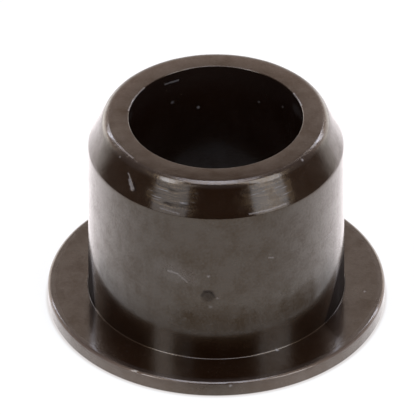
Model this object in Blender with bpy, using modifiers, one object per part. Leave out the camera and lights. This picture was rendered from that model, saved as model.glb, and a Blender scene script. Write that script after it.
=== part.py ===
"""Flanged bushing, moulded in one piece of black nylon.

A plain round sleeve with a flange at its foot and a tapered lead-in at its nose, so that it
starts easily in the hole it is pushed into. One section is drawn in the plane y = 0 and
turned about Z. The origin is the centre of the flange's underside, with +Z up the bore.
"""

import math

import bpy
from mathutils import Vector

MM = 0.001

# Driving sizes
BORE_DIAMETER = 13.0 * MM
WALL_THICKNESS = 3.05 * MM  # at the foot of the lead-in, where the sleeve is slimmest
FLANGE_REACH = 3.15 * MM  # how far the flange stands out past the slimmest sleeve
FLANGE_THICKNESS = 1.2 * MM
LENGTH = 16.5 * MM  # from the flange's underside to the nose
LEAD_IN_LENGTH = 2.48 * MM  # along the axis
LEAD_IN_ANGLE = math.radians(25.5)  # from the axis
DRAFT_ANGLE = math.radians(0.3)  # the wall widens towards the flange

# Rounds of the edges
RIM_ROUND = 0.16 * MM  # upper edge of the flange
FOOT_ROUND = 0.04 * MM  # lower edge of the flange, almost sharp
ROOT_FILLET = 0.12 * MM  # between the wall and the flange
SHOULDER_ROUND = 0.5 * MM  # where the wall turns into the lead-in
NOSE_ROUND = 0.45 * MM  # where the lead-in turns into the nose face
MOUTH_ROUND = 0.2 * MM  # both ends of the bore

# Mark left by the mould's gate, a shallow round pit in the wall
GATE_DIAMETER = 1.1 * MM
GATE_DEPTH = 0.2 * MM
GATE_RISE = 5.75 * MM  # from the flange's upper face to the middle of the pit
GATE_BEARING = math.radians(-3.75)  # about Z, from the side that faces -Y

# Fineness of the turned surface
TURN_STEPS = 96
ARC_STEP = math.radians(30)
GATE_STEPS = 16
SEAM_MERGE = 0.001 * MM

# Finish
NYLON_COLOUR = (0.016, 0.012, 0.010, 1.0)
NYLON_ROUGHNESS = 0.22
NYLON_IOR = 1.53

# Sizes that follow from the driving sizes
BORE_RADIUS = BORE_DIAMETER / 2
BODY_RADIUS = BORE_RADIUS + WALL_THICKNESS
FLANGE_RADIUS = BODY_RADIUS + FLANGE_REACH
SHOULDER_HEIGHT = LENGTH - LEAD_IN_LENGTH
NOSE_RADIUS = BODY_RADIUS - LEAD_IN_LENGTH * math.tan(LEAD_IN_ANGLE)


def wall_radius(height):
    """Radius of the sleeve's outer wall at a height, with its draft."""
    return BODY_RADIUS + (SHOULDER_HEIGHT - height) * math.tan(DRAFT_ANGLE)


def section_corners():
    """Corners of the section as (radius, height, round), down the outside and up the bore."""
    return [
        (NOSE_RADIUS, LENGTH, NOSE_ROUND),
        (BODY_RADIUS, SHOULDER_HEIGHT, SHOULDER_ROUND),
        (wall_radius(FLANGE_THICKNESS), FLANGE_THICKNESS, ROOT_FILLET),
        (FLANGE_RADIUS, FLANGE_THICKNESS, RIM_ROUND),
        (FLANGE_RADIUS, 0.0, FOOT_ROUND),
        (BORE_RADIUS, 0.0, MOUTH_ROUND),
        (BORE_RADIUS, LENGTH, MOUTH_ROUND),
    ]


def rounded_corner(before, corner, after, size):
    """Points of the arc that rounds a corner, tangent to the two lines that meet there."""
    inward = (before - corner).normalized()
    outward = (after - corner).normalized()
    half_angle = inward.angle(outward) / 2
    room = min((before - corner).length, (after - corner).length) / 2
    reach = min(size / math.tan(half_angle), room)
    radius = reach * math.tan(half_angle)
    centre = corner + (inward + outward).normalized() * radius / math.sin(half_angle)
    start = corner + inward * reach - centre
    turn = start.angle_signed(corner + outward * reach - centre)
    steps = max(1, math.ceil(abs(turn) / ARC_STEP))
    points = []
    for step in range(steps + 1):
        angle = turn * step / steps
        # angle_signed counts clockwise turns as positive
        cos_a, sin_a = math.cos(angle), -math.sin(angle)
        points.append(centre + Vector((
            start.x * cos_a - start.y * sin_a,
            start.x * sin_a + start.y * cos_a,
        )))
    return points


def section_outline():
    """The whole section as a closed ring of (radius, height) points."""
    corners = section_corners()
    spots = [Vector((radius, height)) for radius, height, _ in corners]
    outline = []
    for index, (_, _, size) in enumerate(corners):
        before = spots[index - 1]
        after = spots[(index + 1) % len(spots)]
        outline += rounded_corner(before, spots[index], after, size)
    return outline


def nylon():
    """Glossy black nylon with a faint brown cast."""
    material = bpy.data.materials.new("black_nylon")
    material.use_nodes = True
    shader = material.node_tree.nodes["Principled BSDF"]
    shader.inputs["Base Color"].default_value = NYLON_COLOUR
    shader.inputs["Roughness"].default_value = NYLON_ROUGHNESS
    shader.inputs["Metallic"].default_value = 0.0
    shader.inputs["IOR"].default_value = NYLON_IOR
    material.diffuse_color = NYLON_COLOUR
    material.roughness = NYLON_ROUGHNESS
    return material


def new_collection(name):
    """A collection linked to the scene."""
    collection = bpy.data.collections.new(name)
    bpy.context.scene.collection.children.link(collection)
    return collection


def build_sleeve(collection):
    """The bushing's section, turned once about Z."""
    outline = section_outline()
    count = len(outline)
    mesh = bpy.data.meshes.new("bushing")
    mesh.from_pydata(
        [(point.x, 0.0, point.y) for point in outline],
        [(index, (index + 1) % count) for index in range(count)],
        [],
    )
    mesh.materials.append(nylon())
    sleeve = bpy.data.objects.new("bushing", mesh)
    collection.objects.link(sleeve)

    turning = sleeve.modifiers.new("turned_section", "SCREW")
    turning.axis = "Z"
    turning.angle = math.tau
    turning.steps = TURN_STEPS
    turning.render_steps = TURN_STEPS
    turning.use_merge_vertices = True
    turning.merge_threshold = SEAM_MERGE
    turning.use_smooth_shade = True
    return sleeve


def build_gate_cutter(collection):
    """A short rod across the wall, which sinks the gate's pit into it."""
    height = FLANGE_THICKNESS + GATE_RISE
    floor_radius = wall_radius(height) - GATE_DEPTH
    length = 2 * GATE_DIAMETER + GATE_DEPTH
    distance = floor_radius + length / 2
    bpy.ops.mesh.primitive_cylinder_add(
        vertices=GATE_STEPS, radius=GATE_DIAMETER / 2, depth=length,
        location=(distance * math.sin(GATE_BEARING), -distance * math.cos(GATE_BEARING), height),
        rotation=(math.pi / 2, 0.0, GATE_BEARING),
    )
    cutter = bpy.context.active_object
    cutter.name = "gate_cutter"
    for owner in list(cutter.users_collection):
        owner.objects.unlink(cutter)
    collection.objects.link(cutter)
    cutter.display_type = "WIRE"
    cutter.hide_render = True
    return cutter


def cut_gate_mark(sleeve, cutter):
    """Sink the gate's pit, then even the shading of the flat faces."""
    pit = sleeve.modifiers.new("gate_mark", "BOOLEAN")
    pit.operation = "DIFFERENCE"
    pit.object = cutter
    sleeve.modifiers.new("even_shading", "WEIGHTED_NORMAL")


def main():
    for old in list(bpy.data.objects):
        bpy.data.objects.remove(old, do_unlink=True)
    parts = new_collection("flanged_bushing")
    cutters = new_collection("cutters")
    sleeve = build_sleeve(parts)
    cut_gate_mark(sleeve, build_gate_cutter(cutters))


main()
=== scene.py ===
"""Looks of a flanged bushing: moulded black nylon, lightly scuffed, standing on its flange."""

import logging
import math
from dataclasses import dataclass, field
from enum import Enum
from typing import Any, Iterable, Mapping, NamedTuple, Union

import bmesh
import bpy
from mathutils import Matrix, Quaternion, Vector, kdtree, noise

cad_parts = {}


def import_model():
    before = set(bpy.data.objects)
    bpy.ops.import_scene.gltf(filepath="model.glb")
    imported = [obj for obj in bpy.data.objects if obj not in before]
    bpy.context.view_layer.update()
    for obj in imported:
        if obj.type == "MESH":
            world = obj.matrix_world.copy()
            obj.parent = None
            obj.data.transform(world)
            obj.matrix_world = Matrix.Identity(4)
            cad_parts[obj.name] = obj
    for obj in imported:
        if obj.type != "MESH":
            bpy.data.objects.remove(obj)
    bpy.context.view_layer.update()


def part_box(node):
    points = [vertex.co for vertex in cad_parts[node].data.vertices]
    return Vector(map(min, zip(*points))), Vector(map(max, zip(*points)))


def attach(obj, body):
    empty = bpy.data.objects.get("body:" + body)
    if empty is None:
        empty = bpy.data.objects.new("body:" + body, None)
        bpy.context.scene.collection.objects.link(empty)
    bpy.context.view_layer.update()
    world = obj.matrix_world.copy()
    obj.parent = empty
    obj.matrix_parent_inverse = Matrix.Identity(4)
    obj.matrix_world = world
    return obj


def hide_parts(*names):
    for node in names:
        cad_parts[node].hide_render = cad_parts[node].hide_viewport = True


LOG = logging.getLogger("bushing")
MM = 0.001
NODE = "bushing"
Colour = tuple[float, float, float]
Span = tuple[float, float]
WHITE = (1.0, 1.0, 1.0, 1.0)

# Light colours of the lamps
COOL: Colour = (0.95, 1.0, 1.1)
BLUISH: Colour = (0.96, 1.0, 1.17)
BLUE_WHITE: Colour = (0.92, 1.0, 1.25)


class Value:
    """A number on a node's output socket, used in Python expressions that add Math nodes."""

    def __init__(self, sheet: "Sheet", socket: bpy.types.NodeSocket) -> None:
        """Keep the sheet that the socket belongs to."""
        self.sheet = sheet
        self.socket = socket

    def __add__(self, other: "Number") -> "Value":
        """self + other."""
        return self.sheet.maths("ADD", self, other)

    def __radd__(self, other: "Number") -> "Value":
        """other + self."""
        return self.sheet.maths("ADD", other, self)

    def __sub__(self, other: "Number") -> "Value":
        """self - other."""
        return self.sheet.maths("SUBTRACT", self, other)

    def __rsub__(self, other: "Number") -> "Value":
        """other - self."""
        return self.sheet.maths("SUBTRACT", other, self)

    def __mul__(self, other: "Number") -> "Value":
        """self * other."""
        return self.sheet.maths("MULTIPLY", self, other)

    def __rmul__(self, other: "Number") -> "Value":
        """other * self."""
        return self.sheet.maths("MULTIPLY", other, self)

    def __truediv__(self, other: "Number") -> "Value":
        """self / other."""
        return self.sheet.maths("DIVIDE", self, other)

    def __rtruediv__(self, other: "Number") -> "Value":
        """other / self."""
        return self.sheet.maths("DIVIDE", other, self)

    def __pow__(self, other: "Number") -> "Value":
        """self ** other."""
        return self.sheet.maths("POWER", self, other)

    def __rpow__(self, other: "Number") -> "Value":
        """other ** self."""
        return self.sheet.maths("POWER", other, self)


Number = Union[Value, float]


class Sheet:
    """A node tree that is filled by short calls."""

    def __init__(self, tree: bpy.types.NodeTree) -> None:
        """Start on an emptied tree."""
        self.tree = tree
        tree.nodes.clear()

    def node(
        self,
        kind: str,
        settings: Mapping[str, Any] | None = None,
        sockets: Mapping[Union[str, int], Any] | None = None,
    ) -> bpy.types.Node:
        """Add one node.

        Args:
            kind: The node's type, such as "ShaderNodeTexNoise".
            settings: Its own settings, set before its sockets; "stops" is a ramp's list of
                (position, colour) pairs.
            sockets: Values, Values of this sheet or output sockets, by input name or number.

        Returns:
            The new node.
        """
        made = self.tree.nodes.new(kind)
        for name, setting in (settings or {}).items():
            if name == "stops":
                self._set_stops(made.color_ramp, setting)
            else:
                setattr(made, name, setting)
        for name, value in (sockets or {}).items():
            self.feed(made.inputs[name], value)
        return made

    @staticmethod
    def _set_stops(ramp: bpy.types.ColorRamp, stops: Iterable[tuple[float, tuple]]) -> None:
        """Give a ramp its stops, the first two of which reuse its own.

        Args:
            ramp: The ramp of a node that was just added.
            stops: Position and colour of each stop, from left to right.
        """
        for index, (position, colour) in enumerate(stops):
            if index < len(ramp.elements):
                stop = ramp.elements[index]
                stop.position = position
            else:
                stop = ramp.elements.new(position)
            stop.color = colour

    def feed(self, socket: bpy.types.NodeSocket, value: Any) -> None:
        """Link a socket to a Value or an output socket, or set its own value.

        Args:
            socket: An input socket.
            value: What it gets.
        """
        if isinstance(value, Value):
            value = value.socket
        if isinstance(value, bpy.types.NodeSocket):
            self.tree.links.new(value, socket)
        else:
            socket.default_value = value

    def maths(self, operation: str, *operands: Number, clamp: bool = False) -> Value:
        """Add a Math node.

        Args:
            operation: The node's operation.
            operands: One to three numbers or Values.
            clamp: True to hold the result between 0 and 1.

        Returns:
            The node's result.
        """
        settings = {"operation": operation, "use_clamp": clamp}
        made = self.node("ShaderNodeMath", settings, dict(enumerate(operands)))
        return Value(self, made.outputs[0])

    def between(self, value: Number, low: float, high: float) -> Value:
        """Add a smooth step, which needs no clamp since it never leaves 0 to 1.

        Args:
            value: What is measured.
            low: Where the step is 0, and beyond it.
            high: Where the step is 1, and beyond it. It may be below low.

        Returns:
            The step.
        """
        made = self.node(
            "ShaderNodeMapRange",
            {"interpolation_type": "SMOOTHSTEP", "clamp": False},
            {"Value": value, "From Min": low, "From Max": high},
        )
        return Value(self, made.outputs["Result"])

    def vector(self, operation: str, first: Any, second: Any) -> bpy.types.NodeSocket:
        """A vector or colour worked out from two others by a Vector Math node."""
        made = self.node("ShaderNodeVectorMath", {"operation": operation}, {0: first, 1: second})
        return made.outputs[0]

    def length(self, vector: bpy.types.NodeSocket) -> Value:
        """A vector's length."""
        made = self.node("ShaderNodeVectorMath", {"operation": "LENGTH"}, {0: vector})
        return Value(self, made.outputs["Value"])

    def noise(self, where: bpy.types.NodeSocket, texture: "Texture") -> Value:
        """Noise around 0.

        Args:
            where: Points in millimetres.
            texture: The noise's size, grain and detail.

        Returns:
            The noise, mostly from -0.3 to 0.3.
        """
        squeezed = self.vector("MULTIPLY", where, Vector(texture.grain.value) / texture.size)
        made = self.node(
            "ShaderNodeTexNoise",
            {},
            {"Vector": squeezed, "Scale": 1.0, "Detail": texture.detail},
        )
        return Value(self, made.outputs[0]) - 0.5

    def ruffled(
        self, where: bpy.types.NodeSocket, size: float, amount: float
    ) -> bpy.types.NodeSocket:
        """Points pushed about by noise.

        Args:
            where: Points in millimetres.
            size: The size of the noise's blots in millimetres.
            amount: How far a point is pushed, at the most, in millimetres.

        Returns:
            The moved points.
        """
        squeezed = self.vector("MULTIPLY", where, Vector((1.0, 1.0, 1.0)) / size)
        made = self.node("ShaderNodeTexNoise", {}, {"Vector": squeezed, "Scale": 1.0})
        push = self.vector("SUBTRACT", made.outputs[1], Vector((0.5, 0.5, 0.5)))
        reach = Vector((1.0, 1.0, 1.0)) * amount * 2
        return self.vector("ADD", where, self.vector("MULTIPLY", push, reach))

    def mix(self, factor: Number, first: Any, second: Any) -> bpy.types.NodeSocket:
        """A colour that goes from first to second with factor."""
        made = self.node(
            "ShaderNodeMix", {"data_type": "RGBA"}, {"Factor": factor, 6: first, 7: second}
        )
        return made.outputs[2]


def rgba(colour: Colour) -> tuple[float, float, float, float]:
    """An opaque colour for a socket."""
    return (*colour, 1.0)


class Corner(NamedTuple):
    """A corner of the section: where it is, and the radius of the round on it."""

    radius: float
    height: float
    round: float


@dataclass(frozen=True)
class Stretch:
    """A range in which the mesh is finer."""

    start: float
    end: float
    spacing: float

    def holds(self, value: float) -> bool:
        """Whether a value lies in the range."""
        return self.start <= value < self.end


@dataclass
class Section:
    """Sizes of the turned section, in metres, and the outline that they give."""

    flange_radius: float
    length: float
    sleeve_radius: float = 9.55 * MM
    bore_radius: float = 6.5 * MM
    flange_thickness: float = 1.2 * MM
    lead_in_length: float = 2.48 * MM
    lead_in_angle: float = math.radians(25.5)
    draft: float = math.radians(0.45)
    # Edges; the rim's upper one is a narrow bevel with a round on either side
    rim_round: float = 0.2 * MM
    bevel_width: float = 0.19 * MM
    bevel_drop: float = 0.09 * MM
    bevel_round: float = 0.12 * MM
    foot_round: float = 0.12 * MM
    root_fillet: float = 0.09 * MM
    shoulder_round: float = 0.5 * MM
    nose_round: float = 0.64 * MM
    mouth_round: float = 0.07 * MM
    nose_fall: float = 0.07 * MM  # how much lower the nose face is at its outer edge
    # Fineness of the mesh
    arc_step: float = math.radians(11)
    row_spacing: float = 0.28 * MM
    hidden_spacing: float = 0.7 * MM
    fine_rows: tuple[Stretch, ...] = (
        Stretch(6.0 * MM, 7.9 * MM, 0.1 * MM), Stretch(14.5 * MM, 15.7 * MM, 0.1 * MM)
    )

    @classmethod
    def of_frame(cls) -> "Section":
        """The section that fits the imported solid's box."""
        _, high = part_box(NODE)
        return cls(flange_radius=high.x, length=high.z)

    @property
    def shoulder_height(self) -> float:
        """Height at which the wall turns into the lead-in."""
        return self.length - self.lead_in_length

    @property
    def nose_radius(self) -> float:
        """Radius at which the lead-in would meet the nose face if their edge were sharp."""
        return self.sleeve_radius - self.lead_in_length * math.tan(self.lead_in_angle)

    def outer_radius(self, height: float) -> float:
        """Radius of the sleeve's wall or of its lead-in.

        Args:
            height: Height above the flange's underside.

        Returns:
            The radius there, without the rounds.
        """
        rise = height - self.shoulder_height
        slope = self.lead_in_angle if rise > 0 else self.draft
        return self.sleeve_radius - rise * math.tan(slope)

    def corners(self) -> list[Corner]:
        """Corners of the section.

        Returns:
            Those down the outside, across the foot and up the bore.
        """
        root_radius = self.outer_radius(self.flange_thickness)
        return [
            Corner(self.nose_radius, self.length - self.nose_fall, self.nose_round),
            Corner(self.sleeve_radius, self.shoulder_height, self.shoulder_round),
            Corner(root_radius, self.flange_thickness, self.root_fillet),
            Corner(self.flange_radius - self.bevel_width, self.flange_thickness, self.rim_round),
            Corner(
                self.flange_radius, self.flange_thickness - self.bevel_drop, self.bevel_round
            ),
            Corner(self.flange_radius, 0.0, self.foot_round),
            Corner(self.bore_radius, 0.0, self.mouth_round),
            Corner(self.bore_radius, self.length, self.mouth_round),
        ]

    def outline(self) -> list[Vector]:
        """Outline of the section, with arcs at its corners.

        Returns:
            A closed ring of (radius, height) points.
        """
        corners = self.corners()
        spots = [Vector((corner.radius, corner.height)) for corner in corners]
        points: list[Vector] = []
        for index, corner in enumerate(corners):
            before = spots[index - 1]
            after = spots[(index + 1) % len(spots)]
            arc = self._arc(before, spots[index], after, corner.round)
            if points:
                points += self._between(points[-1], arc[0])
            points += arc
        return points + self._between(points[-1], points[0])

    def _arc(self, before: Vector, corner: Vector, after: Vector, size: float) -> list[Vector]:
        """The arc that rounds a corner, tangent to the lines that meet there.

        Args:
            before: The corner before it.
            corner: The corner to round.
            after: The corner after it.
            size: The arc's radius.

        Returns:
            Points from one end of the arc to the other.
        """
        inward = (before - corner).normalized()
        outward = (after - corner).normalized()
        half_angle = inward.angle(outward) / 2
        reach = size / math.tan(half_angle)
        centre = corner + (inward + outward).normalized() * size / math.sin(half_angle)
        start = corner + inward * reach - centre
        turn = start.angle_signed(corner + outward * reach - centre)
        steps = math.ceil(abs(turn) / self.arc_step)
        return [
            centre + Matrix.Rotation(-turn * step / steps, 2) @ start
            for step in range(steps + 1)
        ]

    def _between(self, start: Vector, end: Vector) -> list[Vector]:
        """Points along a straight stretch, closer together where the mesh is finer.

        Args:
            start: One end of the stretch, which isn't among the points.
            end: The other end, likewise.

        Returns:
            The points from start to end.
        """
        length = (end - start).length
        points: list[Vector] = []
        done = spacing = self._spacing(start)
        while done < length - spacing / 2:
            points.append(start.lerp(end, done / length))
            spacing = self._spacing(points[-1])
            done += spacing
        return points

    def _spacing(self, point: Vector) -> float:
        """How closely the rows of points lie.

        Args:
            point: A point of the outline.

        Returns:
            The distance from it to the next one.
        """
        if point.x < self.bore_radius + MM / 2 or point.y < MM / 2:
            return self.hidden_spacing
        fine = [row.spacing for row in self.fine_rows if row.holds(point.y)]
        return fine[0] if fine else self.row_spacing


class Tone(Enum):
    """How a mark differs from the clean surface."""

    PALE = "pale"
    DULL = "dull"
    DARK = "dark"
    RUBBED = "rubbed"


class Grain(Enum):
    """How noise is squeezed along X, Y and Z before it is laid on the surface."""

    EVEN = (1.0, 1.0, 1.0)
    ROUND_THE_AXIS = (0.15, 0.15, 1.0)
    ALONG_THE_AXIS = (1.0, 1.0, 0.16)
    FINE_LINES = (0.07, 0.07, 1.0)


@dataclass(frozen=True)
class Texture:
    """Noise: the size of its blots in millimetres, their grain, and its finer layers."""

    size: float
    grain: Grain
    detail: float


class Place(NamedTuple):
    """A spot on the piece: bearing in degrees from -Y towards +X, height and radius in mm."""

    bearing: float
    height: float
    radius: float

    def point(self) -> Vector:
        """The spot in millimetres."""
        turn = math.radians(self.bearing)
        return Vector((
            self.radius * math.sin(turn), -self.radius * math.cos(turn), self.height
        ))


@dataclass(frozen=True)
class Mark:
    """A fleck, or a stroke from one place to another, on the surface.

    Its width is in millimetres. Its edge is where it sets in and where it is whole, as shares
    of the width.
    """

    tone: Tone
    start: Place
    end: Place
    width: float
    strength: float = 1.0
    edge: Span = (0.75, 0.15)

    @property
    def wide(self) -> bool:
        """Whether it is a patch, wider than a millimetre, and not a line or a speck."""
        return self.width > 1.0

    def mask(self, sheet: Sheet, where: bpy.types.NodeSocket) -> Value:
        """How much of the mark a point shows.

        Args:
            sheet: The sheet that takes the nodes.
            where: Points of the surface in millimetres.

        Returns:
            0 away from the mark, and its strength in its middle.
        """
        start, run = self.start.point(), self.end.point() - self.start.point()
        offset = sheet.vector("SUBTRACT", where, start)
        if run.length > 0.0:
            along = Value(sheet, sheet.node(
                "ShaderNodeVectorMath", {"operation": "DOT_PRODUCT"}, {0: offset, 1: run}
            ).outputs["Value"])
            share = sheet.maths("MAXIMUM", along / run.length_squared, 0.0)
            share = sheet.maths("MINIMUM", share, 1.0)
            spread = sheet.node(
                "ShaderNodeVectorMath", {"operation": "SCALE"}, {0: run, "Scale": share}
            )
            offset = sheet.vector("SUBTRACT", offset, spread.outputs[0])
        distance = sheet.length(offset)
        outside, inside = (share * self.width for share in self.edge)
        return self.strength * sheet.between(distance, outside, inside)


def fleck(tone: Tone, place: Place, width: float, strength: float = 1.0) -> Mark:
    """A mark that is as long as it is wide."""
    return Mark(tone, place, place, width, strength)


@dataclass(frozen=True)
class PaintedSideShade:
    """A dull film low on one side of the sleeve, narrower further up.

    The side is -1 for the left and 1 for the right. The edge is where the shade sets in, as a
    share of the radius, at the height given in millimetres; it lies further out by the slant
    for each millimetre above that.
    """

    side: float
    edge: Span
    height: float
    slant: float


class Surface:
    """Where a point lies on the bushing, in millimetres, and masks of the bushing's places.

    Each step runs from where a mask is 0 to where it is 1, counted in millimetres from the edge
    or the face that it is used with. The rim's sides are counted from the middle (0) to the
    left and the right end (1).
    """

    RIM_STEP: Span = (-0.25, 0.0)
    RIM_SIDES: Span = (-0.15, 0.5)
    SHOULDER_STEP: Span = (-0.3, 0.0)
    NOSE_STEP: Span = (-0.05, 0.1)
    FACE_STEP: Span = (-0.15, -0.1)
    MOUTH_STEP: Span = (1.2, 0.2)
    BORE_TOP_STEP: Span = (-3.0, -0.6)
    BORE_WALL_STEP: Span = (0.2, 0.05)
    EDGE_STEP: Span = (0.5, 0.2)
    WALL_OUTER_STEP: Span = (0.25, 0.11)
    WALL_INNER_STEP: Span = (-0.55, -0.35)

    def __init__(self, sheet: Sheet, section: Section) -> None:
        """Work out the point's height, its distance from the axis and its side.

        Args:
            sheet: The sheet that takes the nodes.
            section: The section that was turned.
        """
        self.sheet = sheet
        self.section = section
        here = sheet.node("ShaderNodeTexCoord").outputs["Object"]
        self.where = sheet.vector("MULTIPLY", here, Vector((1 / MM, 1 / MM, 1 / MM)))
        axes = sheet.node("ShaderNodeSeparateXYZ", {}, {0: self.where}).outputs
        self.rise = Value(sheet, axes["Z"])
        self.back = Value(sheet, axes["Y"])
        self.reach = sheet.length(
            sheet.vector("MULTIPLY", self.where, Vector((1.0, 1.0, 0.0)))
        )
        self.across = Value(sheet, axes["X"]) / sheet.maths("MAXIMUM", self.reach, 0.1)

    def rim(self) -> Value:
        """Mask of the flange's outer edge, whose lighter colour is partly painted light.

        Returns:
            1 on the edge's sides, little straight in front and behind, 0 elsewhere.
        """
        beside = self.sheet.between(
            self.sheet.maths("ABSOLUTE", self.across), *self.RIM_SIDES
        )
        return self._step(self.reach, self.section.flange_radius, self.RIM_STEP) * beside

    def lead_in(self) -> Value:
        """Mask of the lead-in.

        Returns:
            1 on the lead-in and the rounds at both ends of it, 0 elsewhere.
        """
        nose = self.section.nose_radius - self.section.nose_round
        above = self._step(self.rise, self.section.shoulder_height, self.SHOULDER_STEP)
        return above * self._step(self.reach, nose, self.NOSE_STEP)

    def near_mouth(self) -> Value:
        """Mask of the nose face's inner part.

        Returns:
            1 beside the bore, less further out, 0 elsewhere.
        """
        above = self._step(self.rise, self.section.length, self.FACE_STEP)
        return above * self._step(self.reach, self.section.bore_radius, self.MOUTH_STEP)

    def in_bore(self) -> Value:
        """Mask of the bore's wall.

        Returns:
            1 just below its upper mouth, less further down, 0 elsewhere.
        """
        above = self._step(self.rise, self.section.length, self.BORE_TOP_STEP)
        return above * self._step(self.reach, self.section.bore_radius, self.BORE_WALL_STEP)

    def worn_edges(self) -> Value:
        """Mask of the two edges that wear most.

        Returns:
            1 on the rounds of the nose and the rim, 0 elsewhere.
        """
        nose, _, _, rim, _, _, _, _ = self.section.corners()
        worn = []
        for corner in (nose, rim):
            across = self.reach - corner.radius / MM
            away = self.rise - corner.height / MM
            distance = (across * across + away * away) ** 0.5
            worn.append(self.sheet.between(distance, *self.EDGE_STEP))
        return self.sheet.maths("MAXIMUM", *worn)

    def side_shaded(self, painted_sides: Iterable[PaintedSideShade], fade: Span, fade_back: Span) -> Value:
        """Mask of the painted shade low on the sleeve's wall.

        Args:
            painted_sides: The painted shades at the two sides.
            fade: The heights between which they set in.
            fade_back: How far behind the axis they end, and where they begin to.

        Returns:
            1 where a painted shade lies, 0 elsewhere.
        """
        covered_shade: Number = 0.0
        for painted_side in painted_sides:
            outward = self.across * painted_side.side - (self.rise - painted_side.height) * painted_side.slant
            covered_shade = covered_shade + self.sheet.between(outward, *painted_side.edge)
        sleeve = self.section.sleeve_radius
        wall = self._step(self.reach, sleeve, self.WALL_OUTER_STEP)
        wall = wall * self._step(self.reach, sleeve, self.WALL_INNER_STEP)
        front = self.sheet.between(self.back, *fade_back)
        return covered_shade * self.sheet.between(self.rise, *fade) * wall * front

    def marked(self, marks: Iterable[Mark]) -> dict[Tone, Number]:
        """Masks of the marks, with frayed edges.

        Args:
            marks: The flecks and strokes, of which the wide ones fray more.

        Returns:
            One mask for each tone, near 1 where it is strongest.
        """
        frayed = self.sheet.ruffled(self.where, 0.25, 0.06)
        ragged = self.sheet.ruffled(self.where, 0.8, 0.5)
        joined: dict[Tone, Number] = {tone: 0.0 for tone in Tone}
        for mark in marks:
            mask = mark.mask(self.sheet, ragged if mark.wide else frayed)
            joined[mark.tone] = self.sheet.maths("MAXIMUM", joined[mark.tone], mask)
        return joined

    def _step(self, distance: Value, origin: float, step: Span) -> Value:
        """A step whose two ends are counted from a place.

        Args:
            distance: The point's height or its distance from the axis.
            origin: The place's, in metres.
            step: Where the step is 0 and where it is 1, from there in millimetres.

        Returns:
            The step.
        """
        low, high = step
        return self.sheet.between(distance, origin / MM + low, origin / MM + high)


class Patterns(NamedTuple):
    """What varies over the surface: noises around 0, and masks from 0 to 1."""

    cloud: Value
    smudge: Value
    streak: Value
    grain: Value
    scratch: Value
    groove: Value
    worn: Value
    lead_in: Value
    rubbed: Value
    pale: Value
    dull: Value
    dark: Value


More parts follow.
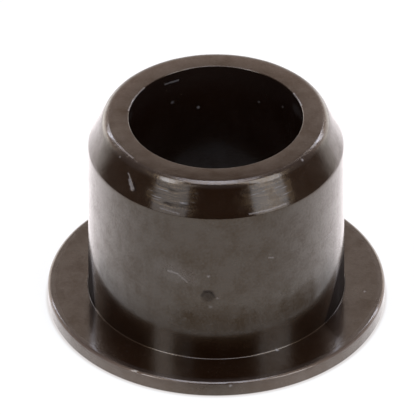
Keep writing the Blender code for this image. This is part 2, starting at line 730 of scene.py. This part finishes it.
@dataclass(frozen=True)
class BlackNylon:
    """Glossy black nylon with a faint brown cast under a thin, harder skin."""

    colour: Colour = (0.0065, 0.0024, 0.001)
    # The flange's side face: a lighter scuffed colour, and painted light that is strongest at
    # its left and right
    rim_scuff_and_sheen: Colour = (0.070, 0.050, 0.040)
    # Colour of the pale marks: specks and scuffs, and also painted highlights
    scuff_and_highlight_colour: Colour = (0.17, 0.16, 0.16)
    tint: Colour = (0.88, 0.60, 0.32)
    ior: float = 1.5
    skin_roughness: float = 0.125

    # Dark, nearly unreflecting coat on the dark marks: painted shade in the gate's dent, in the
    # troughs of the rubbed lines and low at the sides; with painted highlight lines along the
    # rubbed bands
    painted_shade_colour: Colour = (0.010, 0.007, 0.006)
    glint_colour: Colour = (0.26, 0.25, 0.25)
    painted_shade_roughness: float = 0.55
    painted_shade_ior: float = 1.06
    # Painted shade low on the left and the right of the sleeve, near the foot
    painted_sides: tuple[PaintedSideShade, ...] = (
        PaintedSideShade(-1.0, (0.935, 0.97), 3.2, 0.0075), PaintedSideShade(1.0, (0.9, 0.94), 3.7, 0.035)
    )
    painted_side_fade: Span = (6.7, 4.0)
    painted_side_fade_back: Span = (1.6, 0.2)
    painted_side_cover: float = 0.97
    line_cover: float = 0.8
    glint_cover: float = 0.75

    # Noises, and the steps that make patches, specks and lines of them
    cloud: Texture = Texture(3.2, Grain.EVEN, 3.0)
    smudge: Texture = Texture(1.1, Grain.EVEN, 4.0)
    streak: Texture = Texture(0.7, Grain.ALONG_THE_AXIS, 3.0)
    grain: Texture = Texture(0.16, Grain.EVEN, 2.0)
    scratch: Texture = Texture(0.3, Grain.ROUND_THE_AXIS, 4.0)
    groove: Texture = Texture(0.13, Grain.FINE_LINES, 2.0)
    rubbed_step: Span = (-0.3, 0.1)
    glint_step: Span = (0.07, 0.2)
    speck_step: Span = (0.17, 0.3)
    line_step: Span = (-0.03, -0.17)

    # How pale the specks, the bore's upper end and the worn edges are; the edges' paleness is
    # partly painted highlight
    speck_paleness: float = 0.13
    bore_paleness: float = 0.02
    edge_wear_and_sheen: float = 0.04

    # Heights in millimetres, for a noise of 1
    grain_height: float = 0.009
    smudge_height: float = 0.006
    streak_height: float = 0.002
    worn_grain_height: float = 0.006
    worn_smudge_height: float = 0.02
    scratch_height: float = 0.16
    groove_height: float = 0.05

    # Roughness below the skin, and what adds to it
    roughness: float = 0.22
    least_roughness: float = 0.08
    lead_in_roughness: float = 0.16
    worn_roughness: float = 0.07
    mark_roughness: float = 0.3
    rubbed_roughness: float = 0.25
    cloud_roughness: float = 0.2
    smudge_roughness: float = 0.15

    # Weight of the skin, and what adds to it or takes from it
    skin: float = 0.84
    cloud_skin: float = 0.8
    smudge_skin: float = 1.0
    streak_skin: float = 0.4
    grain_skin: float = 1.0
    rubbed_skin: float = 0.5
    dull_skin: float = -0.75
    mouth_skin: float = -0.2

    def material(self, section: Section, marks: Iterable[Mark]) -> bpy.types.Material:
        """The finish as a node material.

        Args:
            section: Tells the lead-in and the nose face from the rest.
            marks: The flecks and strokes to show.

        Returns:
            The material.
        """
        made = bpy.data.materials.new("black_nylon")
        made.use_nodes = True
        sheet = Sheet(made.node_tree)
        surface = Surface(sheet, section)
        patterns = self._patterns(surface, marks)
        # painted highlight lines where the rubbed bands' grooves stand highest
        glint_lines = patterns.rubbed * sheet.between(patterns.groove, *self.glint_step)
        blend = sheet.node(
            "ShaderNodeMixShader",
            {},
            {
                0: self._painted_shade_share(surface, patterns, glint_lines),
                1: self._nylon(surface, patterns),
                2: self._painted_shade(sheet, glint_lines),
            },
        )
        sheet.node("ShaderNodeOutputMaterial", {}, {"Surface": blend.outputs[0]})
        return made

    def _patterns(self, surface: Surface, marks: Iterable[Mark]) -> Patterns:
        """Lay out what the finish is mixed from.

        Args:
            surface: Positions and masks of the bushing.
            marks: The flecks and strokes to show.

        Returns:
            The noises and masks.
        """
        sheet, where = surface.sheet, surface.where
        smudge, grain = sheet.noise(where, self.smudge), sheet.noise(where, self.grain)
        worn, lead_in = surface.worn_edges(), surface.lead_in()
        masks = surface.marked(marks)
        specks = sheet.between(grain, *self.speck_step) * self.speck_paleness
        pale = sheet.maths("MAXIMUM", masks[Tone.PALE], specks)
        pale = sheet.maths("MAXIMUM", pale, sheet.maths(
            # worn edges paler, partly as painted highlight
            "MAXIMUM", surface.in_bore() * self.bore_paleness, worn * self.edge_wear_and_sheen
        ))
        return Patterns(
            cloud=sheet.noise(where, self.cloud),
            smudge=smudge,
            streak=sheet.noise(where, self.streak),
            grain=grain,
            scratch=sheet.noise(where, self.scratch),
            groove=sheet.noise(where, self.groove),
            worn=worn,
            lead_in=lead_in,
            rubbed=lead_in * masks[Tone.RUBBED] * sheet.between(smudge, *self.rubbed_step),
            pale=pale,
            dull=masks[Tone.DULL],
            dark=masks[Tone.DARK],
        )

    def _height(self, patterns: Patterns) -> Value:
        """The fine relief: grain and smudges, rougher on worn edges, and the rubbed lines.

        Args:
            patterns: What varies over the surface.

        Returns:
            Its height in millimetres.
        """
        height = patterns.grain * (self.grain_height + patterns.worn * self.worn_grain_height)
        height = height + patterns.smudge * (
            self.smudge_height + patterns.worn * self.worn_smudge_height
        )
        height = height + patterns.streak * self.streak_height
        lines = patterns.scratch * self.scratch_height + patterns.groove * self.groove_height
        return height + lines * patterns.rubbed

    def _roughness(self, patterns: Patterns) -> Value:
        """How rough the nylon is below its skin.

        Args:
            patterns: What varies over the surface.

        Returns:
            The roughness, never below the least.
        """
        rough = self.roughness + patterns.cloud * self.cloud_roughness
        rough = rough + patterns.smudge * self.smudge_roughness
        rough = rough + (patterns.pale + patterns.dull) * self.mark_roughness
        rough = rough - patterns.lead_in * (self.roughness - self.lead_in_roughness)
        rough = rough + patterns.worn * self.worn_roughness
        rough = rough + patterns.rubbed * self.rubbed_roughness
        return patterns.cloud.sheet.maths("MAXIMUM", rough, self.least_roughness)

    def _skin_weight(self, patterns: Patterns, near_mouth: Value) -> Value:
        """How strongly the skin shows.

        Args:
            patterns: What varies over the surface.
            near_mouth: Mask of the nose face beside the bore, where it shows less.

        Returns:
            Its weight, from 0 to 1.
        """
        weight = self.skin + patterns.cloud * self.cloud_skin
        weight = weight + patterns.smudge * self.smudge_skin
        weight = weight + patterns.streak * self.streak_skin
        weight = weight + patterns.grain * self.grain_skin
        weight = weight + patterns.rubbed * self.rubbed_skin
        weight = weight + patterns.dull * self.dull_skin
        return near_mouth.sheet.maths("ADD", weight, near_mouth * self.mouth_skin, clamp=True)

    def _nylon(self, surface: Surface, patterns: Patterns) -> bpy.types.NodeSocket:
        """The nylon under its skin.

        Args:
            surface: Positions and masks of the bushing.
            patterns: What varies over the surface.

        Returns:
            The shader.
        """
        sheet = surface.sheet
        # the rim's lighter colour, partly painted light at its left and right
        colour = sheet.mix(surface.rim(), rgba(self.colour), rgba(self.rim_scuff_and_sheen))
        relief = sheet.node(
            "ShaderNodeBump",
            {},
            {"Strength": 1.0, "Distance": MM, "Height": self._height(patterns)},
        )
        made = sheet.node(
            "ShaderNodeBsdfPrincipled",
            {},
            {
                # pale marks, some of them painted highlights
                "Base Color": sheet.mix(patterns.pale, colour, rgba(self.scuff_and_highlight_colour)),
                "Roughness": self._roughness(patterns),
                "IOR": self.ior,
                "Specular Tint": rgba(self.tint),
                "Coat Weight": self._skin_weight(patterns, surface.near_mouth()),
                "Coat Roughness": self.skin_roughness,
                "Normal": relief.outputs[0],
            },
        )
        return made.outputs["BSDF"]

    def _painted_shade(self, sheet: Sheet, glint_lines: Value) -> bpy.types.NodeSocket:
        """The dark matt shader of the painted shade, with the painted highlight lines in it.

        Args:
            sheet: The sheet that takes the nodes.
            glint_lines: Mask of the painted highlight lines in it.

        Returns:
            The shader.
        """
        made = sheet.node(
            "ShaderNodeBsdfPrincipled",
            {},
            {
                "Base Color": sheet.mix(
                    glint_lines, rgba(self.painted_shade_colour), rgba(self.glint_colour)
                ),
                "Roughness": self.painted_shade_roughness,
                "IOR": self.painted_shade_ior,
            },
        )
        return made.outputs["BSDF"]

    def _painted_shade_share(self, surface: Surface, patterns: Patterns, glint_lines: Value) -> Value:
        """Where the painted shade lies: on the dark marks, in the rubbed lines and low at the
        sides.

        Args:
            surface: Positions and masks of the bushing.
            patterns: What varies over the surface.
            glint_lines: Mask of the painted highlight lines in it.

        Returns:
            How much of it shows, from 0 to 1.
        """
        sheet = surface.sheet
        # painted shade in the troughs of the rubbed lines, with the painted highlight lines
        lines = sheet.maths(
            "MAXIMUM",
            sheet.between(patterns.scratch, *self.line_step),
            glint_lines * self.glint_cover,
        )
        lines = patterns.rubbed * lines * self.line_cover
        share = sheet.maths("MAXIMUM", patterns.dark, lines)
        # painted shade low at the sides
        sides = surface.side_shaded(self.painted_sides, self.painted_side_fade, self.painted_side_fade_back)
        return sheet.maths("MAXIMUM", share, sides * self.painted_side_cover)


@dataclass(frozen=True)
class Hollow:
    """A dent, or a groove from one place to another, pressed into the surface.

    Its width and depth are in millimetres, and its edge is uneven by a share of the width.
    """

    start: Place
    end: Place
    width: float
    depth: float
    unevenness: float = 0.15

    def sink(self, point: Vector) -> float:
        """How far the hollow takes a point in.

        Args:
            point: A point of the surface in millimetres.

        Returns:
            The depth in millimetres, 0 outside the hollow.
        """
        start, run = self.start.point(), self.end.point() - self.start.point()
        share = 0.0
        if run.length > 0.0:
            share = min(1.0, max(0.0, (point - start).dot(run) / run.length_squared))
        distance = (point - start - run * share).length
        distance += self.unevenness * self.width * noise.noise(point / self.width * 4.0)
        inside = min(1.0, max(0.0, (self.width / 2 - distance) / (self.width / 4)))
        return self.depth * inside * inside * (3 - 2 * inside)


# Where the gate of the mould left its mark
GATE = Place(-3.76, 6.97, 9.59)


@dataclass
class Bushing:
    """The one moulded piece."""

    section: Section
    finish: BlackNylon = field(default_factory=BlackNylon)
    column_spacing: float = 1.0
    fine_columns: tuple[Stretch, ...] = (
        Stretch(-50.0, -39.0, 0.33), Stretch(-10.0, 3.0, 0.33)
    )
    # How far the surface and the nose's edge are from true, and over what length, in mm
    waviness: float = 0.004
    wave_length: float = 2.5
    edge_waviness: float = 0.012
    edge_wave_length: float = 0.8
    hollows: tuple[Hollow, ...] = (
        Hollow(GATE, GATE, 1.1, 0.06),
        Hollow(Place(-47.5, 15.5, 8.85), Place(-42.0, 14.75, 9.2), 0.3, 0.04),
        Hollow(Place(4.6, 1.1, 12.7), Place(4.6, 0.95, 12.7), 0.3, 0.05),
        Hollow(Place(-28.0, 1.2, 12.65), Place(-28.4, 1.2, 12.65), 0.3, 0.05),
    )
    marks: tuple[Mark, ...] = (
        # The gate mark: a dark disc of painted shade in its dent, darker round its upper half,
        # with flecks beside it
        fleck(Tone.DARK, Place(-3.76, 6.95, 9.59), 1.0, 0.52),
        Mark(Tone.DARK, Place(-6.1, 7.0, 9.59), Place(-4.9, 7.32, 9.59), 0.36, 0.6),
        Mark(Tone.DARK, Place(-4.9, 7.32, 9.59), Place(-2.5, 7.32, 9.59), 0.4, 0.68),
        Mark(Tone.DARK, Place(-2.5, 7.32, 9.59), Place(-1.4, 6.95, 9.59), 0.36, 0.6),
        fleck(Tone.PALE, Place(-2.7, 6.0, 9.59), 0.3, 0.3),
        fleck(Tone.PALE, Place(0.4, 6.8, 9.59), 0.2, 0.3),
        fleck(Tone.PALE, Place(-3.5, 8.8, 9.58), 0.24, 0.5),
        # The curved scuff above it
        Mark(Tone.PALE, Place(-21.8, 8.85, 9.58), Place(-17.5, 8.75, 9.58), 0.2, 0.5),
        Mark(Tone.PALE, Place(-17.5, 8.75, 9.58), Place(-13.0, 8.1, 9.58), 0.18, 0.35),
        Mark(Tone.PALE, Place(-23.0, 9.1, 9.58), Place(-13.0, 8.6, 9.58), 1.8, 0.12),
        # Dull smudges low on the wall
        Mark(Tone.DULL, Place(-14.0, 4.9, 9.6), Place(14.0, 4.7, 9.6), 2.4, 0.5),
        Mark(Tone.DULL, Place(14.0, 4.7, 9.6), Place(34.0, 4.7, 9.6), 2.2, 0.3),
        Mark(Tone.DULL, Place(34.0, 4.9, 9.6), Place(46.0, 4.9, 9.6), 2.2, 0.7),
        fleck(Tone.DULL, Place(-12.0, 5.0, 9.6), 1.3, 0.7),
        # The nick in the lead-in
        Mark(Tone.PALE, Place(-47.9, 15.6, 8.79), Place(-44.0, 15.05, 9.06), 0.12, 0.7),
        Mark(Tone.PALE, Place(-45.8, 15.28, 8.95), Place(-43.0, 14.85, 9.16), 0.26, 0.8),
        fleck(Tone.PALE, Place(-42.9, 14.84, 9.16), 0.36, 0.75),
        Mark(Tone.DARK, Place(-42.8, 15.3, 8.94), Place(-40.6, 14.8, 9.18), 0.16, 0.7),
        # Rubbed bands on the lead-in, and painted highlights along the shoulder below them
        Mark(Tone.RUBBED, Place(-29.0, 15.2, 8.99), Place(-22.0, 15.2, 8.99), 1.9, 1.0),
        Mark(Tone.RUBBED, Place(-22.0, 15.2, 8.99), Place(-14.5, 15.2, 8.99), 1.9, 1.0),
        Mark(Tone.RUBBED, Place(15.0, 15.2, 8.99), Place(24.0, 15.2, 8.99), 1.8, 0.9),
        Mark(Tone.RUBBED, Place(24.0, 15.2, 8.99), Place(34.0, 15.2, 8.99), 1.8, 0.9),
        Mark(Tone.PALE, Place(15.0, 14.2, 9.46), Place(24.0, 14.2, 9.46), 0.14, 0.5),
        Mark(Tone.PALE, Place(24.0, 14.2, 9.46), Place(33.0, 14.25, 9.45), 0.14, 0.45),
        Mark(Tone.PALE, Place(-26.0, 14.3, 9.42), Place(-17.0, 14.2, 9.46), 0.12, 0.35),
        # Painted highlights on the edge of the bore's mouth
        Mark(Tone.PALE, Place(-125.0, 16.48, 6.53), Place(-111.0, 16.48, 6.53), 0.18, 0.45),
        Mark(Tone.PALE, Place(-111.0, 16.48, 6.53), Place(-98.0, 16.48, 6.53), 0.2, 0.6),
        Mark(Tone.PALE, Place(103.0, 16.48, 6.53), Place(117.0, 16.48, 6.53), 0.2, 0.5),
        # Flecks and strokes of painted highlight on the nose's edge, and short strokes on the
        # wall
        fleck(Tone.PALE, Place(50.4, 16.36, 8.3), 0.22, 0.7),
        Mark(Tone.PALE, Place(58.0, 8.9, 9.58), Place(64.0, 8.86, 9.58), 0.14, 0.4),
        Mark(Tone.PALE, Place(24.0, 9.9, 9.57), Place(26.0, 9.8, 9.57), 0.14, 0.4),
        Mark(Tone.PALE, Place(-66.0, 16.45, 7.98), Place(-58.0, 16.45, 7.98), 0.14, 0.35),
        Mark(Tone.PALE, Place(-58.0, 16.45, 7.98), Place(-50.5, 16.45, 7.98), 0.14, 0.35),
        fleck(Tone.PALE, Place(-57.2, 16.2, 8.5), 0.2, 0.5),
        # Flecks and scuffs in the bore
        fleck(Tone.PALE, Place(150.0, 13.8, 6.5), 0.2, 0.4),
        fleck(Tone.PALE, Place(-150.0, 13.8, 6.5), 0.24, 0.5),
        fleck(Tone.PALE, Place(-168.5, 12.8, 6.5), 0.26, 0.6),
        fleck(Tone.PALE, Place(129.5, 14.4, 6.5), 0.2, 0.4),
        Mark(Tone.PALE, Place(-154.6, 15.66, 6.5), Place(-144.5, 15.72, 6.5), 0.16, 0.5),
        Mark(Tone.PALE, Place(92.0, 15.9, 6.5), Place(114.0, 15.3, 6.5), 0.9, 0.1),
        Mark(Tone.PALE, Place(-92.0, 15.9, 6.5), Place(-104.0, 15.6, 6.5), 0.7, 0.1),
        # Flecks on the flange, at its root and in its rim
        fleck(Tone.PALE, Place(83.2, 1.2, 11.24), 0.2, 0.6),
        fleck(Tone.PALE, Place(27.7, 1.25, 9.75), 0.24, 1.0),
        fleck(Tone.PALE, Place(4.6, 0.95, 12.7), 0.25, 0.7),
    )

    def build(self) -> bpy.types.Object:
        """Turn the section, dent and dress it, and set it in place of the plain solid.

        Returns:
            The dressed piece.
        """
        mesh = self._mesh()
        mesh.materials.append(self.finish.material(self.section, self.marks))
        piece = bpy.data.objects.new("moulded_bushing", mesh)
        bpy.context.scene.collection.objects.link(piece)
        piece.modifiers.new("even_shading", "WEIGHTED_NORMAL")
        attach(piece, "root")
        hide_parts(NODE)
        return piece

    def _mesh(self) -> bpy.types.Mesh:
        """The section turned once about Z, with its wear pressed in.

        Returns:
            The mesh.
        """
        body = bmesh.new()
        outline = self.section.outline()
        rings = []
        for bearing in self._bearings():
            turned = direction(bearing, 0)
            rings.append([
                body.verts.new((turned.x * point.x, turned.y * point.x, point.y))
                for point in outline
            ])
        for ring, after in zip(rings, rings[1:] + rings[:1]):
            for row in range(len(outline)):
                body.faces.new((ring[row - 1], ring[row], after[row], after[row - 1]))
        bmesh.ops.recalc_face_normals(body, faces=body.faces)
        body.normal_update()
        self._wear(body)
        mesh = bpy.data.meshes.new("moulded_bushing")
        body.to_mesh(mesh)
        body.free()
        mesh.shade_smooth()
        return mesh

    def _bearings(self) -> list[float]:
        """Where the mesh's columns stand, closer together in the fine stretches.

        Returns:
            Their bearings in degrees.
        """
        bearings, bearing = [], -180.0
        while bearing < 180.0 - self.column_spacing / 4:
            bearings.append(bearing)
            fine = [column.spacing for column in self.fine_columns if column.holds(bearing)]
            bearing += fine[0] if fine else self.column_spacing
        return bearings

    def _wear(self, body: bmesh.types.BMesh) -> None:
        """Press the hollows in, and take the exactness off the surfaces and the nose edge.

        Args:
            body: The turned section, in metres.
        """
        finder = kdtree.KDTree(len(body.verts))
        nose = self.section.length - self.section.nose_round
        inner = self.section.nose_radius - self.section.nose_round
        sinks: list[float] = []
        for index, vert in enumerate(body.verts):
            finder.insert(vert.co, index)
            point = vert.co / MM
            sink = self.waviness * (0.5 + 0.5 * noise.noise(point / self.wave_length))
            if vert.co.z > nose and vert.co.xy.length > inner:
                wave = noise.noise(point / self.edge_wave_length)
                sink += self.edge_waviness * (0.5 + 0.5 * wave)
            sinks.append(sink)
        finder.balance()
        for hollow in self.hollows:
            middle = (hollow.start.point() + hollow.end.point()) / 2 * MM
            reach = (hollow.end.point() - hollow.start.point()).length / 2 + hollow.width
            for co, index, _ in finder.find_range(middle, reach * MM):
                sinks[index] += hollow.sink(co / MM)
        for vert, sink in zip(body.verts, sinks):
            vert.co -= vert.normal * sink * MM


@dataclass(frozen=True)
class Lamp:
    """A soft rectangular lamp that faces the object.

    Its bearing, elevation, lean and apparent width and height are in degrees.
    """

    name: str
    bearing: float
    elevation: float
    width: float
    height: float
    radiance: float
    colour: Colour = (1.0, 1.0, 1.0)
    lean: float = 0.0
    distance: float = 0.5

    def build(self, target: Vector) -> bpy.types.Object:
        """Add the lamp.

        Args:
            target: The point that it faces.

        Returns:
            The lamp's object.
        """
        data = bpy.data.lights.new(self.name, "AREA")
        data.shape = "RECTANGLE"
        data.size = 2 * self.distance * math.tan(math.radians(self.width) / 2)
        data.size_y = 2 * self.distance * math.tan(math.radians(self.height) / 2)
        data.color = self.colour
        data.energy = self.radiance * data.size * data.size_y * math.pi
        lamp = bpy.data.objects.new(self.name, data)
        away = direction(self.bearing, self.elevation)
        lamp.location = target + away * self.distance
        upright = away.to_track_quat("Z", "Y")
        leaning = Quaternion((0.0, 0.0, 1.0), math.radians(self.lean))
        lamp.rotation_euler = (upright @ leaning).to_euler()
        lamp.visible_camera = False
        bpy.context.scene.collection.objects.link(lamp)
        return lamp


def direction(bearing: float, elevation: float) -> Vector:
    """A direction from the object.

    Args:
        bearing: Degrees about Z; 0 points to -Y and 90 to +X.
        elevation: Degrees above the floor.

    Returns:
        The unit vector.
    """
    turn, rise = math.radians(bearing), math.radians(elevation)
    return Vector((
        math.sin(turn) * math.cos(rise), -math.cos(turn) * math.cos(rise), math.sin(rise)
    ))


@dataclass(frozen=True)
class Floor:
    """A round pale floor that looks white and keeps the object's shadow.

    What the object mirrors of it is brighter behind, and darker in front of its foot. Under the
    flange it is painted dark as shade, apart from a little light in the bore.
    """

    radius: float = 85 * MM
    segments: int = 96
    pale: Colour = (0.85, 0.84, 0.82)
    # painted shade on the floor under the flange and, partly, in the bore
    covered_shade: Colour = (0.05, 0.05, 0.05)
    rear_glow: Colour = (1.53, 1.42, 1.42)
    foot_shade: Colour = (0.5, 0.5, 0.5)
    contact_shade: Colour = (0.5, 0.42, 0.38)
    shadow_share: float = 0.2
    foot_share: float = 0.75
    contact_share: float = 0.5
    bore_share: float = 0.32

    # Distances from the axis at which each of them starts, and where it is whole
    open_step: Span = (11 * MM, 12.4 * MM)
    foot_outer_step: Span = (17.5 * MM, 14.5 * MM)
    foot_inner_step: Span = (13.2 * MM, 14.4 * MM)
    contact_step: Span = (12.98 * MM, 12.7 * MM)
    bore_step: Span = (6.6 * MM, 6.2 * MM)

    # The same from front to back, where -1 is straight in front and 1 straight behind
    rear_step: Span = (-0.8, 0.5)
    front_step: Span = (0.25, -0.05)

    def build(self) -> bpy.types.Object:
        """Add the floor.

        Returns:
            The floor's object.
        """
        mesh = bpy.data.meshes.new("floor")
        body = bmesh.new()
        bmesh.ops.create_circle(
            body, cap_ends=True, segments=self.segments, radius=self.radius
        )
        body.to_mesh(mesh)
        body.free()
        mesh.materials.append(self._material())
        floor = bpy.data.objects.new("floor", mesh)
        bpy.context.scene.collection.objects.link(floor)
        return floor

    def _material(self) -> bpy.types.Material:
        """Mostly plain white, with a share of matt floor for the shadow.

        Returns:
            The material.
        """
        made = bpy.data.materials.new("pale_floor")
        made.use_nodes = True
        sheet = Sheet(made.node_tree)
        path = sheet.node("ShaderNodeLightPath").outputs
        camera = Value(sheet, path["Is Camera Ray"])
        mirrored = sheet.maths(
            "MAXIMUM",
            Value(sheet, path["Is Glossy Ray"]),
            Value(sheet, path["Is Transmission Ray"]),
        )
        where = sheet.node("ShaderNodeNewGeometry").outputs["Position"]
        away = sheet.length(where)
        axes = sheet.node("ShaderNodeSeparateXYZ", {}, {0: where}).outputs
        behind = Value(sheet, axes["Y"]) / away

        rear = sheet.between(behind, *self.rear_step) * mirrored
        white = sheet.mix(rear, WHITE, rgba(self.rear_glow))
        foot = sheet.between(away, *self.foot_outer_step) * mirrored
        foot = foot * sheet.between(away, *self.foot_inner_step)
        foot = foot * sheet.between(behind, *self.front_step)
        white = sheet.mix(foot * self.foot_share, white, rgba(self.foot_shade))
        contact = sheet.between(away, *self.contact_step) * camera
        white = sheet.mix(contact * self.contact_share, white, rgba(self.contact_shade))

        open_floor = sheet.between(away, *self.open_step)
        in_bore = sheet.between(away, *self.bore_step) * self.bore_share
        bare = sheet.maths("MAXIMUM", sheet.maths("MAXIMUM", camera, open_floor), in_bore)
        matt = sheet.node(
            "ShaderNodeBsdfDiffuse",
            {},
            # painted shade under the flange and in the bore
            {"Color": sheet.mix(bare, rgba(self.covered_shade), rgba(self.pale))},
        )
        glow = sheet.node("ShaderNodeEmission", {}, {"Color": white})
        seen = sheet.maths("MAXIMUM", camera, mirrored * open_floor)
        blend = sheet.node(
            "ShaderNodeMixShader",
            {},
            {0: seen * (1 - self.shadow_share), 1: matt.outputs[0], 2: glow.outputs[0]},
        )
        sheet.node("ShaderNodeOutputMaterial", {}, {"Surface": blend.outputs[0]})
        return made


@dataclass(frozen=True)
class Room:
    """White behind the object, fading upwards, and dark at the sides and the front.

    Its steps run over the sine of the elevation (rise), or over the level part of a direction:
    -1 is straight in front and 1 straight behind (turn), -1 is left and 1 right (side).
    """

    # Colours up the backdrop, by the sine of the elevation plus the lift
    backdrop: tuple[tuple[float, Colour], ...] = (
        (0.05, (1.4, 1.35, 1.35)),
        (0.20, (2.5, 2.45, 2.4)),
        (0.45, (2.7, 2.6, 2.55)),
        (0.58, (2.1, 1.95, 1.85)),
        (0.66, (1.25, 1.04, 0.94)),
        (0.72, (0.78, 0.62, 0.56)),
        (0.80, (0.95, 0.84, 0.78)),
        (0.85, (0.40, 0.34, 0.31)),
        (1.0, (0.20, 0.16, 0.15)),
    )
    backdrop_lift: float = 0.2
    backdrop_turn: Span = (0.24, 0.68)
    backdrop_skew: float = 0.03  # how much further round it reaches on the left
    side_shade: Colour = (0.20, 0.16, 0.14)
    front_shade: Colour = (0.085, 0.065, 0.055)
    side_turn: Span = (-0.9, -0.2)

    # A brighter stretch at the back left, and a darker one straight behind
    glare: Colour = (1.45, 1.45, 1.45)
    glare_turn: Span = (0.58, 0.72)
    glare_side: Span = (-0.45, -0.62)
    glare_rise: Span = (0.45, 0.3)
    rear_dimmer: Colour = (0.4, 0.38, 0.37)
    rear_turn: Span = (0.92, 0.985)
    rear_rise: Span = (0.5, 0.4)

    def build(self) -> None:
        """Set up the surroundings, which the camera itself sees as white."""
        world = bpy.data.worlds.new("studio")
        world.use_nodes = True
        bpy.context.scene.world = world
        sheet = Sheet(world.node_tree)
        where = sheet.node("ShaderNodeTexCoord").outputs["Generated"]
        axes = sheet.node("ShaderNodeSeparateXYZ", {}, {0: where}).outputs
        rise = Value(sheet, axes["Z"])
        level = sheet.maths("MAXIMUM", 1 - rise * rise, 0.0001) ** 0.5
        side, turn = Value(sheet, axes["X"]) / level, Value(sheet, axes["Y"]) / level

        stops = [(position, rgba(colour)) for position, colour in self.backdrop]
        ramp = sheet.node("ShaderNodeValToRGB", {"stops": stops}, {0: rise + self.backdrop_lift})
        spread = turn + sheet.maths("MINIMUM", side, 0.0) * self.backdrop_skew
        shade = sheet.mix(
            sheet.between(turn, *self.side_turn), rgba(self.front_shade), rgba(self.side_shade)
        )
        shade = sheet.mix(sheet.between(spread, *self.backdrop_turn), shade, ramp.outputs[0])
        glare = sheet.between(turn, *self.glare_turn) * sheet.between(side, *self.glare_side)
        glare = glare * sheet.between(rise, *self.glare_rise)
        shade = sheet.mix(glare, shade, sheet.vector("MULTIPLY", shade, Vector(self.glare)))
        rear = sheet.between(turn, *self.rear_turn) * sheet.between(rise, *self.rear_rise)
        dimmed = sheet.vector("MULTIPLY", shade, Vector(self.rear_dimmer))
        shade = sheet.mix(rear, shade, dimmed)
        seen = Value(sheet, sheet.node("ShaderNodeLightPath").outputs["Is Camera Ray"])
        glow = sheet.node(
            "ShaderNodeBackground", {}, {"Color": sheet.mix(seen, shade, WHITE)}
        )
        sheet.node("ShaderNodeOutputWorld", {}, {"Surface": glow.outputs[0]})


@dataclass(frozen=True)
class View:
    """A long lens, from the front and above, with the object a little off the middle."""

    distance: float = 0.762
    elevation: float = 36.23  # in degrees
    roll: float = -0.00406  # in radians
    focal_pixels: float = 10159.0
    frame_pixels: float = 415.0
    aim_pixels: tuple[float, float] = (8.62, 5.43)
    aim_height: float = 7.62 * MM
    sensor_width: float = 36.0
    sight: float = 10.0

    def build(self) -> bpy.types.Object:
        """Add the camera and look through it.

        Returns:
            The camera's object.
        """
        data = bpy.data.cameras.new("camera")
        data.sensor_width = self.sensor_width
        data.lens = self.focal_pixels / self.frame_pixels * self.sensor_width
        data.clip_end = self.sight
        camera = bpy.data.objects.new("camera", data)
        away = direction(0, self.elevation)
        facing = away.to_track_quat("Z", "Y").to_matrix()
        turned = facing @ Matrix.Rotation(self.roll, 3, "Z")
        pixel = self.distance / self.focal_pixels
        across, down = self.aim_pixels
        aside = turned @ Vector((-across * pixel, down * pixel, 0.0))
        aim = Vector((0.0, 0.0, self.aim_height))
        camera.matrix_world = Matrix.Translation(
            aim + away * self.distance + aside
        ) @ turned.to_4x4()
        bpy.context.scene.collection.objects.link(camera)
        bpy.context.scene.camera = camera
        return camera


@dataclass
class Studio:
    """Floor, surroundings, lamps and camera."""

    target: Vector
    lamps: tuple[Lamp, ...] = (
        # Soft light from both sides in front, each with a brighter core
        Lamp("softbox_left", -40, 22, 30, 56, 1.25, COOL),
        Lamp("core_left", -53.5, 47, 13, 48, 6.0, COOL, 20),
        Lamp("softbox_right", 47, 9, 30, 30, 2.1, COOL),
        Lamp("core_right", 56, 46, 25, 50, 4.4, COOL, -12),
        # Narrow lamps at the back that draw the highlights along the nose's edge
        Lamp("edge_left_low", -145.5, 33, 12, 4, 6.2, BLUISH, -37),
        Lamp("edge_left_high", -158, 38.8, 16, 3.5, 9.0, BLUISH, -13),
        Lamp("edge_right_low", 140, 34.2, 17, 3.6, 9.0, BLUISH, 38.5),
        Lamp("edge_right_high", 156, 40.6, 16, 4, 10.0, BLUISH),
        # Strips overhead, for the highlight in the middle of that edge and of the rim
        Lamp("strip_above", 180, 64, 11.5, 17, 5.0, BLUE_WHITE),
        Lamp("strip_over", 180, 90, 28, 36, 4.4, BLUE_WHITE),
    )
    floor: Floor = Floor()
    room: Room = Room()
    view: View = View()

    def build(self) -> None:
        """Set up everything that isn't part of the object."""
        self.floor.build()
        self.room.build()
        for lamp in self.lamps:
            lamp.build(self.target)
            LOG.info("lamp %s", lamp.name)
        self.view.build()
        bpy.context.scene.view_settings.view_transform = "Standard"


def main() -> None:
    """Build the bushing and the studio."""
    logging.basicConfig(level=logging.INFO, format="%(name)s: %(message)s")
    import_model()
    section = Section.of_frame()
    piece = Bushing(section).build()
    LOG.info("%s with %d faces", piece.name, len(piece.data.polygons))
    Studio(target=Vector((0.0, 0.0, section.length / 2))).build()


if __name__ == "__main__":
    main()
